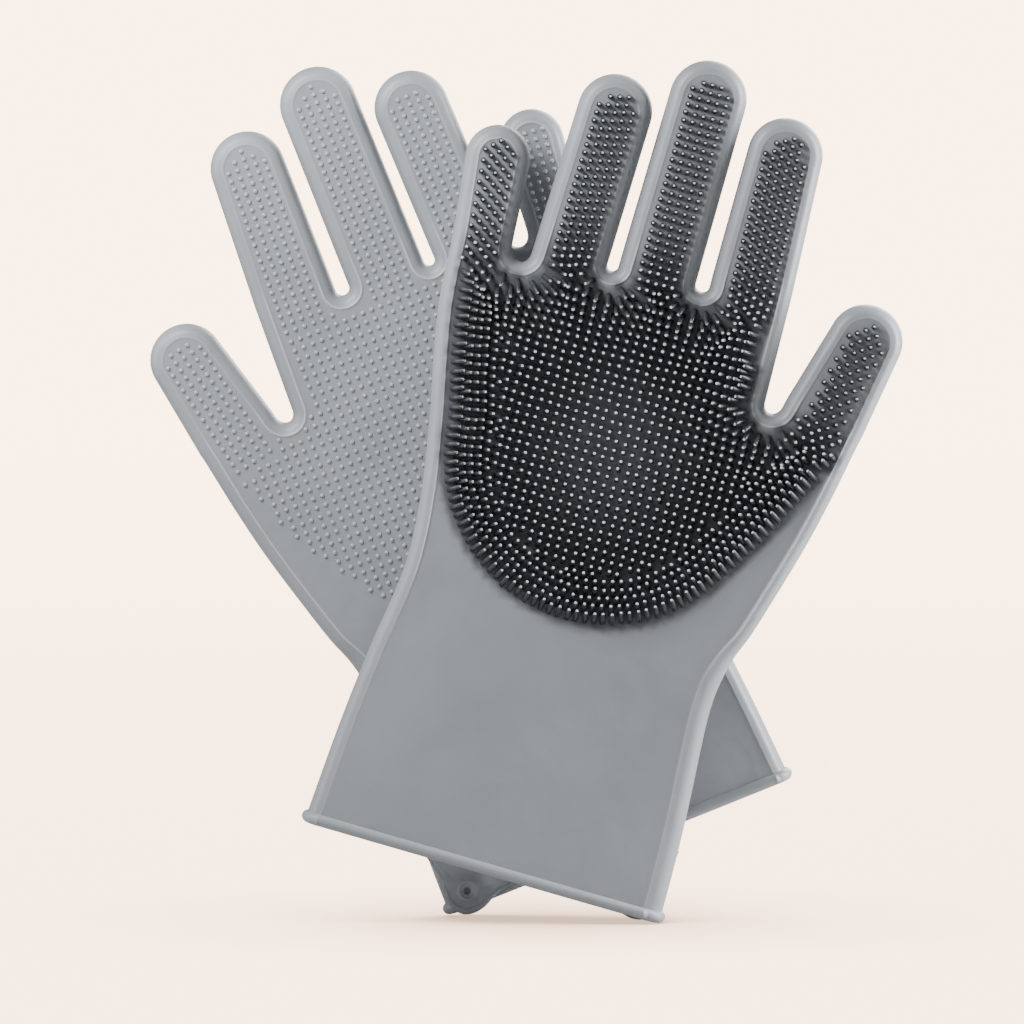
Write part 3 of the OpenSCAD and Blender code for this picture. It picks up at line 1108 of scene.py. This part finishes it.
    def bristles(self) -> dict[str, StudField]:
        """The bristles of the hand and of each digit."""
        how = self.how
        fields: dict[str, StudField] = {}
        taken: list[np.ndarray] = []
        for digit in self.sizes.digits:
            points, below = self._split(digit, self.digit_points(digit, digit.bristles))
            taken += [points, below]
            count = len(points)
            near = 1 - smoothstep(-4, 22, digit.local(points)[0])
            lengths = (how.short_length + how.root_gain * near
                       + self.random.normal(0, how.short_jitter, count))
            jitter = self.random.normal(0, 1, (count, 2))
            jitter /= np.linalg.norm(jitter, axis=1)[:, None]
            fields[digit.name] = self.stand(points, Side.PALM, lengths,
                                            np.radians(self._wobble(count)), jitter, how.lift)
        on_digits = np.vstack(taken)
        rows = self.border_rows(on_digits)
        grid = self.hand_points(how.bristle_grid, np.vstack([on_digits, rows]))
        extra = self.gap_points(np.vstack([on_digits, rows, grid]))
        points = self._with_run_on(np.vstack([rows, grid, extra]), taken)
        count = len(points)
        push, depth = self._fan(points)
        calm = self._calm(points)
        most = (how.fan - how.fan_up_loss * np.clip(push[:, 1], 0, 1) ** 2) * (1 - calm)
        fade = np.exp(-np.maximum(depth - how.fan_start, 0) / how.fan_depth)
        tilts = np.radians(most * fade + self._wobble(count))
        lengths = (how.long_length - how.calm_loss * calm
                   + self.random.normal(0, how.long_jitter, count))
        points = points + self.random.normal(0, how.place_jitter, points.shape)
        fields["hand"] = self.stand(points, Side.PALM, lengths, tilts, push, how.lift)
        return fields

    def _upright(self, points: np.ndarray) -> StudField:
        """Dots that stand straight up on the back."""
        count = len(points)
        return self.stand(points, Side.BACK, np.full(count, self.how.dot_length),
                          np.zeros(count), np.tile([1.0, 0.0], (count, 1)))

    def dots(self) -> dict[str, StudField]:
        """The dots of the hand and of each digit."""
        fields: dict[str, StudField] = {}
        taken: list[np.ndarray] = []
        for digit in self.sizes.digits:
            points, below = self._split(digit, self.digit_points(digit, digit.dots))
            taken += [points, below]
            fields[digit.name] = self._upright(points)
        grid = self.hand_points(self.how.dot_grid, np.vstack(taken))
        fields["hand"] = self._upright(self._with_run_on(grid, taken))
        return fields


# --- Rolled rim and hanging tab ------------------------------------------------------------------


def ring_faces(total: int, count: int) -> list[tuple[int, ...]]:
    """Faces of a closed ring of rows.

    Args:
        total: How many rows there are.
        count: How many points each has.

    Returns:
        The faces, which join each row to the next and the last to the first.
    """
    faces = []
    for row in range(total):
        after = (row + 1) % total
        for k in range(count):
            m = (k + 1) % count
            faces.append((row * count + k, row * count + m, after * count + m, after * count + k))
    return faces


def sweep(path: np.ndarray, normals: np.ndarray, radius: float, sides: int,
          up: tuple[float, float, float]) -> tuple[np.ndarray, list[tuple[int, ...]]]:
    """A closed round tube.

    Args:
        path: Points of its closed middle line.
        normals: Unit vectors across the line at each point.
        radius: The tube's radius.
        sides: Points round it.
        up: The other unit vector across the line.

    Returns:
        Its vertices and faces.
    """
    turn = np.linspace(0, 2 * np.pi, sides, endpoint=False)
    vertices = (path[:, None] + radius * (np.cos(turn)[None, :, None] * normals[:, None]
                                          + np.sin(turn)[None, :, None] * np.array(up)))
    return vertices.reshape(-1, 3), ring_faces(len(path), sides)


class CuffRim:
    """The rolled rim that runs round the mouth of the cuff."""

    def __init__(self, skin: Skin, radius: float = 2.5, sunk: float = 0.65) -> None:
        """Follows the section of the mouth.

        Args:
            skin: The skin that it ends.
            radius: The rim's radius.
            sunk: How far its middle line lies inside the skin's surface.
        """
        left = [(r[0, 0], h[0]) for r, h in zip(skin.rings, skin.heights)]
        right = [(r[-1, 0], h[-1]) for r, h in zip(skin.rings, skin.heights)][::-1]
        span = np.linspace(left[-1][0], right[0][0], 60)[1:-1]
        flat = skin.panel_height(np.column_stack([span, np.zeros(len(span))]))
        half = left + list(zip(span, flat)) + right
        loop = np.array(half + [(x, -y) for x, y in half[::-1]][1:-1])
        step = np.roll(loop, -1, axis=0) - np.roll(loop, 1, axis=0)
        step /= np.linalg.norm(step, axis=1)[:, None]
        out = np.column_stack([-step[:, 1], step[:, 0]])
        loop = loop - out * sunk
        self.path = np.column_stack([loop, np.zeros(len(loop))])
        self.normals = np.column_stack([out, np.zeros(len(loop))])
        self.radius = radius

    def mesh(self) -> tuple[np.ndarray, list[tuple[int, ...]]]:
        """Its vertices and faces."""
        return sweep(self.path, self.normals, self.radius, 16, (0.0, 0.0, 1.0))


@dataclass
class HangTab:
    """The bell-shaped corner tab with a raised ring round its hole, on the back of the cuff."""

    hole: tuple[float, float] = (65.4, 4.9)
    hole_r: float = 1.5
    face: float = 12.2
    thickness: float = 1.8
    ring: tuple[tuple[float, float], ...] = ((3.1, 0.0), (3.25, 0.35), (3.6, 0.6), (4.2, 0.6),
                                             (4.5, 0.35), (4.7, 0.0))
    rib: tuple[tuple[float, float], ...] = ((2.6, 0.0), (2.35, 0.12), (2.0, 0.5), (1.4, 0.8),
                                            (0.8, 0.78), (0.3, 0.45), (0.0, -0.1), (0.0, -1.4))
    edge: tuple[tuple[float, float], ...] = (
        (76.8, 27.5), (75.4, 21.0), (75.0, 15.6), (75.6, 9.5), (75.4, 4.5), (73.6, -0.6),
        (70.3, -3.9), (65.8, -4.9), (60.9, -4.0), (56.4, -1.8), (51.6, 0.0), (46.0, 0.6),
        (39.4, 2.2),
    )
    top: tuple[tuple[float, float], ...] = ((46.0, 12.0), (58.0, 20.0), (70.0, 26.0))

    def mesh(self) -> tuple[np.ndarray, list[tuple[int, ...]]]:
        """Its vertices and faces, as rows that run outwards from the hole."""
        line = spline(list(self.edge), 1.2)
        line = np.vstack([line, spline([self.edge[-1], *self.top, self.edge[0]], 2.0)[1:-1]])
        centre = np.array(self.hole)
        to_edge = line - centre
        reach = np.linalg.norm(to_edge, axis=1)
        aim = to_edge / reach[:, None]
        face, back = self.face, self.face - self.thickness
        rows: list[tuple[np.ndarray, float]] = []

        def row(radius: float | np.ndarray, height: float) -> None:
            """Adds a row at a radius from the hole, or at radii that differ by direction."""
            rows.append((np.broadcast_to(radius, len(line)), height))

        row(self.hole_r, back)
        row(self.hole_r, face - 0.15)
        row(self.hole_r + 0.15, face)
        for radius, lift in self.ring:
            row(radius, face + lift)
        for inward, lift in self.rib:
            row(np.maximum(reach - inward, 4.9 - inward * 0.05), face + lift)
        row(np.maximum(reach - 0.4, 4.8), back)
        vertices = []
        for radius, height in rows:
            flat = centre + aim * radius[:, None]
            vertices.append(np.column_stack([flat[:, 0], np.full(len(line), height), flat[:, 1]]))
        faces = [face[::-1] for face in ring_faces(len(rows), len(line))]
        return np.vstack(vertices), faces


# --- Gloves --------------------------------------------------------------------------------------


@dataclass(frozen=True)
class Placement:
    """Where a glove stands in the model's frame, in metres and radians.

    A glove that is turned shows its back, with its hanging hole towards -y.
    """

    name: str
    lean: float
    origin: tuple[float, float, float]
    turned: bool

    @classmethod
    def of(cls, name: str) -> Placement:
        """Takes a glove's place from the mounts at its mouth and its hanging hole."""
        mounts = {mount["name"]: mount for mount in frame["record"]["mounts"]}
        mouth, hole = mounts[name + "_hand_opening"], mounts[name + "_hang_hole"]
        into_x, _, into_z = mouth["axis"]
        return cls(name, math.atan2(-into_x, -into_z), tuple(mouth["pos_m"]),
                   hole["axis"][1] < 0)

    def matrix(self) -> Matrix:
        """Takes the glove's own frame, in metres, to the model's."""
        out = Matrix.Translation(self.origin) @ Matrix.Rotation(self.lean, 4, "Y")
        return out @ Matrix.Rotation(math.pi, 4, "Z") if self.turned else out


class GloveKit:
    """The meshes that both gloves share, in the glove's own frame and in metres.

    The skin is darkest among the bristles' roots, as painted shade: within root_reach of one, in a
    ring round palm_centre that ring_reach bounds on its inside, and only below digit_fade on a
    digit.
    """

    palm_centre = np.array([3.0, 180.0])
    root_reach = (1.6, 4.6)
    ring_reach = (4.0, 46.0)
    digit_fade = (-14.0, 6.0)

    def __init__(self, sizes: GloveSizes) -> None:
        """Builds every mesh once.

        Args:
            sizes: The glove's sizes.
        """
        self.sizes = sizes
        self.skin = Skin(sizes)
        layout = StudLayout(self.skin)
        bristles = layout.bristles()
        self.roots = np.vstack([spot.points[:, (0, 2)] for spot in bristles.values()])
        self.meshes: dict[str, bpy.types.Mesh] = {}
        self._add_skin("hand_skin", self.skin.hand())
        for i, digit in enumerate(sizes.digits):
            self._add_skin(digit.name + "_skin", self.skin.digit(i))
        self._add_plain("cuff_rim", *CuffRim(self.skin).mesh())
        self._add_plain("hang_tab", *HangTab().mesh())
        for name, spot in bristles.items():
            shape, finish = (LONG_BRISTLE, SHADED_BRISTLE) if name == "hand" else (SHORT_BRISTLE, SHADED_STUBBLE)
            self.meshes[name + "_bristles"] = shape.mesh(spot, finish)
        for name, spot in layout.dots().items():
            self.meshes[name + "_dots"] = GRIP_DOT.mesh(spot, DOT)

    def _patch(self, vertices: np.ndarray) -> np.ndarray:
        """How much painted shade each vertex gets among the bristles' roots: 1 in a ring round the
        palm.
        """
        flat = vertices[:, (0, 2)]
        out = np.zeros(len(vertices))
        for i in np.flatnonzero(vertices[:, 1] < 0):
            nearest = np.sqrt(((self.roots - flat[i]) ** 2).sum(axis=1).min())
            out[i] = 1 - smoothstep(*self.root_reach, nearest)
        reach = np.linalg.norm(flat - self.palm_centre, axis=1)
        out *= smoothstep(*self.ring_reach, reach)
        for digit in self.sizes.digits:
            along, over = digit.local(flat)
            on_digit = smoothstep(*self.digit_fade, along) * (np.abs(over) < digit.root_r + 1)
            out *= 1 - on_digit
        return out

    def _add_skin(self, name: str, data: SkinMesh) -> None:
        """Adds a piece of skin with its masks, an inner face a wall further in and closed edges."""
        lookup: dict[tuple, int] = {}
        keep = np.array([lookup.setdefault(tuple(v), len(lookup))
                         for v in np.round(data.vertices, 4)])
        first = np.zeros(len(lookup), int)
        first[keep] = np.arange(len(keep))
        vertices = data.vertices[first]
        faces = [tuple(int(keep[v]) for v in f) for f in data.faces]
        outer = self._mesh(name, vertices, faces)
        normals = np.empty(len(vertices) * 3, np.float32)
        outer.vertex_normals.foreach_get("vector", normals)
        bpy.data.meshes.remove(outer)
        count = len(vertices)
        within = vertices - normals.reshape(-1, 3) * self.sizes.wall
        within[np.abs(vertices[:, 2]) < 1e-6, 2] = 0.0
        inner_faces = [tuple(v + count for v in f[::-1]) for f in faces]
        used = {(f[i - 1], f[i]) for f in faces for i in range(len(f))}
        rim = [(b, a, a + count, b + count) for a, b in sorted(used) if (b, a) not in used]
        mesh = self._mesh(name, np.vstack([vertices, within]), faces + inner_faces + rim)
        lips = {tuple(sorted(pair)) for b, a, c, d in rim for pair in ((a, b), (c, d))}
        sharp = mesh.attributes.new("sharp_edge", "BOOLEAN", "EDGE")
        sharp.data.foreach_set("value", [tuple(sorted(e.vertices)) in lips for e in mesh.edges])
        # The ridge mask carries a painted highlight along the raised lines, the patch mask painted
        # shade among the bristles' roots.
        masks = {"ridge": data.ridge[first], "patch": self._patch(vertices)}
        for mask, values in masks.items():
            layer = mesh.attributes.new(mask, "FLOAT", "POINT")
            layer.data.foreach_set("value", np.tile(values, 2).astype(np.float32))
        mesh.materials.append(SKIN.material())
        self.meshes[name] = mesh

    def _add_plain(self, name: str, vertices: np.ndarray, faces: list[tuple[int, ...]]) -> None:
        """Adds a mesh in the rim's finish."""
        mesh = self._mesh(name, vertices, faces)
        mesh.materials.append(RIM.material())
        self.meshes[name] = mesh

    @staticmethod
    def _mesh(name: str, vertices: np.ndarray, faces: list[tuple[int, ...]]) -> bpy.types.Mesh:
        """A smooth-shaded mesh from millimetres."""
        mesh = bpy.data.meshes.new(name)
        places = (np.asarray(vertices, float) * MM).tolist()
        mesh.from_pydata(places, [], [tuple(map(int, f)) for f in faces])
        mesh.shade_smooth()
        mesh.update()
        return mesh


class Glove:
    """One glove, dressed over its CAD bodies."""

    def __init__(self, kit: GloveKit, place: Placement) -> None:
        """Keeps what it is built from.

        Args:
            kit: The shared meshes.
            place: Where the glove stands.
        """
        self.kit = kit
        self.place = place

    def _object(self, key: str) -> bpy.types.Object:
        """A copy of a shared mesh, put in its place."""
        mesh = self.kit.meshes[key].copy()
        mesh.transform(self.place.matrix())
        mesh.name = f"{self.place.name}_{key}"
        made = bpy.data.objects.new(f"{self.place.name}_glove_{key}", mesh)
        bpy.context.scene.collection.objects.link(made)
        LOG.info("%s: %d faces", made.name, len(mesh.polygons))
        return made

    def _point(self, flat: np.ndarray) -> tuple[float, float, float]:
        """A point of the glove's own plane, in the model's frame."""
        return tuple(self.place.matrix() @ Vector((flat[0] * MM, 0.0, flat[1] * MM)))

    def _dress(self, key: str, nodes: list[str], blend: tuple | None = None,
               body: str = "") -> None:
        """Adds one piece.

        Args:
            key: The shared mesh.
            nodes: The CAD nodes that it stands for.
            blend: Two bodies and two points in the plane. When it is given, the piece is fixed
            where it stands instead of riding on a body; the bodies and points are not used.
            body: The body that it rides on, when there is no blend.
        """
        name = self.place.name
        piece = self._object(key)
        if blend:
            a, b, start, end = blend
            self._point(start)
            self._point(end)
            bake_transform(piece)
        else:
            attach(piece, f"{name}_{body}")
        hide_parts(*[f"{name}_{node}" for node in nodes])

    def build(self) -> None:
        """Adds every piece."""
        sizes = self.kit.sizes
        low, high = sizes.wrist_fold
        self._dress("hand_skin", ["gauntlet_palm", "gauntlet_back", "wrist_flex",
                                          "palm_skin", "back_skin"],
                    ("cuff", "hand", np.array([0, low]), np.array([0, high])))
        self._dress("cuff_rim", ["cuff_bead"], body="cuff")
        self._dress("hang_tab", ["hang_tab"], body="cuff")
        self._dress("hand_bristles", ["palm_bristles"], body="hand")
        self._dress("hand_dots", ["back_dots"], body="hand")
        for digit in sizes.digits:
            bend = ("hand", digit.name, digit.at(sizes.cut, 0), digit.at(sizes.fold_end, 0))
            self._dress(digit.name + "_skin",
                        [digit.name + "_stall", digit.name + "_flex"], bend)
            self._dress(digit.name + "_bristles", [digit.name + "_bristles"], bend)
            self._dress(digit.name + "_dots", [digit.name + "_dots"], bend)


# --- Studio --------------------------------------------------------------------------------------


@dataclass(frozen=True)
class Lamp:
    """A softbox aimed at the object's middle, in metres and watts."""

    name: str
    place: tuple[float, float, float]
    size: tuple[float, float]
    power: float
    colour: tuple[float, float, float] = (1.0, 1.0, 1.0)

    def build(self, target: Vector) -> None:
        """Adds the lamp, turned towards target."""
        data = bpy.data.lights.new(self.name, "AREA")
        data.shape = "RECTANGLE"
        data.size, data.size_y = self.size
        data.energy = self.power
        data.color = self.colour
        made = bpy.data.objects.new(self.name, data)
        made.location = target + Vector(self.place)
        made.rotation_euler = (target - made.location).to_track_quat("-Z", "Y").to_euler()
        made.visible_camera = False
        bpy.context.scene.collection.objects.link(made)


@dataclass
class Studio:
    """The floor, the soft light and the camera."""

    low: Vector
    high: Vector
    paper: tuple[float, float, float] = (0.40, 0.39, 0.38)
    backdrop: tuple[float, float, float] = (1.0, 0.70, 0.50)
    glow: float = 8.5
    ambient: float = 0.13
    view_width: float = 0.4238
    distance: float = 4.0
    elevation: float = 3.0
    aim: tuple[float, float] = (0.0118, 0.147)
    floor_half: float = 6.0
    contact_shadow_reach: float = 0.16
    near_shade_share: float = 0.78
    fade: tuple[float, float] = (0.2, 4.5)
    lamps: tuple[Lamp, ...] = (
        Lamp("key_softbox", (-0.317, -0.29, 0.405), (0.28, 0.28), 5.5),
        Lamp("right_strip", (0.73, -0.03, 0.165), (0.15, 0.7), 17.0),
        Lamp("left_strip", (-1.1, -0.06, 0.25), (0.3, 1.2), 6.0),
        Lamp("low_fill", (-0.35, -0.75, -0.08), (0.4, 0.3), 0.7),
        Lamp("back_softbox", (0.45, 1.1, 0.5), (0.7, 0.7), 16.0),
    )

    def build(self) -> None:
        """Adds everything."""
        target = (self.low + self.high) / 2
        for lamp in self.lamps:
            lamp.build(target)
        self._floor()
        self._world()
        self._camera()

    def _floor(self) -> None:
        """A pale floor that looks like the backdrop, with a soft painted shadow where it is shut
        in.
        """
        size, z = self.floor_half, self.low.z
        mesh = bpy.data.meshes.new("floor")
        rim = [(-size, -size, z), (size, -size, z), (size, size, z), (-size, size, z)]
        mesh.from_pydata(rim, [], [(0, 1, 2, 3)])
        floor = bpy.data.objects.new("floor", mesh)
        bpy.context.scene.collection.objects.link(floor)
        made = bpy.data.materials.new("floor_paper")
        made.use_nodes = True
        wiring, nodes = Wiring(made.node_tree), made.node_tree.nodes
        paper = nodes["Principled BSDF"]
        wiring.feed(paper, {"Base Color": (*self.paper, 1.0), "Roughness": 0.9})
        # Painted contact shadow: the floor glows less where it is shut in.
        contact_shadow = wiring.add("ShaderNodeAmbientOcclusion", {"Distance": self.contact_shadow_reach},
                              samples=16)
        glow = wiring.add("ShaderNodeMapRange", {"Value": contact_shadow.outputs["AO"],
                                                 "From Min": 0.35, "To Min": self.glow * 0.2,
                                                 "To Max": self.glow})
        # Painted shade: the floor glows less near the gloves than far away.
        place = wiring.add("ShaderNodeTexCoord").outputs["Object"]
        reach = wiring.add("ShaderNodeVectorMath", {0: place}, operation="LENGTH")
        near, far = self.fade
        fade = wiring.add("ShaderNodeMapRange", {"Value": reach.outputs["Value"],
                                                 "From Min": near, "From Max": far,
                                                 "To Min": self.near_shade_share},
                          interpolation_type="SMOOTHSTEP")
        strength = wiring.maths("MULTIPLY", glow.outputs["Result"], fade.outputs["Result"])
        seen = wiring.add("ShaderNodeEmission", {"Color": (*self.backdrop, 1.0),
                                                 "Strength": strength})
        wiring.show(paper.outputs[0], seen.outputs[0], nodes["Material Output"])
        mesh.materials.append(made)
        floor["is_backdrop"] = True

    def _world(self) -> None:
        """A pale backdrop, dimmer as a light than as a picture."""
        world = bpy.data.worlds.new("studio")
        bpy.context.scene.world = world
        world.use_nodes = True
        wiring, nodes = Wiring(world.node_tree), world.node_tree.nodes
        shown = nodes["Background"]
        wiring.feed(shown, {"Color": (*self.backdrop, 1.0), "Strength": self.glow})
        light = wiring.add("ShaderNodeBackground", {"Color": (1.0, 1.0, 1.0, 1.0),
                                                    "Strength": self.ambient})
        wiring.show(light.outputs[0], shown.outputs[0], nodes["World Output"])

    def _camera(self) -> None:
        """A far camera with a long lens, square on to the gloves."""
        data = bpy.data.cameras.new("camera")
        data.sensor_width = 36.0
        data.lens = 36.0 * self.distance / self.view_width
        data.clip_end = 50.0
        camera = bpy.data.objects.new("camera", data)
        target = Vector((self.aim[0], 0.0, self.aim[1]))
        tilt = math.radians(self.elevation)
        camera.location = target + Vector((0, -math.cos(tilt), math.sin(tilt))) * self.distance
        camera.rotation_euler = (target - camera.location).to_track_quat("-Z", "Y").to_euler()
        bpy.context.scene.collection.objects.link(camera)
        bpy.context.scene.camera = camera


def corners(bounds: tuple) -> list[list[float]]:
    """A box's two corners as plain lists of numbers."""
    return [[float(c) for c in corner] for corner in bounds]


def main() -> None:
    logging.basicConfig(level=logging.INFO)
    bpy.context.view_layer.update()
    kit = GloveKit(GloveSizes())
    for name in ("front", "rear"):
        Glove(kit, Placement.of(name)).build()
    for mesh in kit.meshes.values():
        bpy.data.meshes.remove(mesh)
    visual = corners(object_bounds())
    Studio(Vector(visual[0]), Vector(visual[1])).build()


if __name__ == "__main__":
    main()
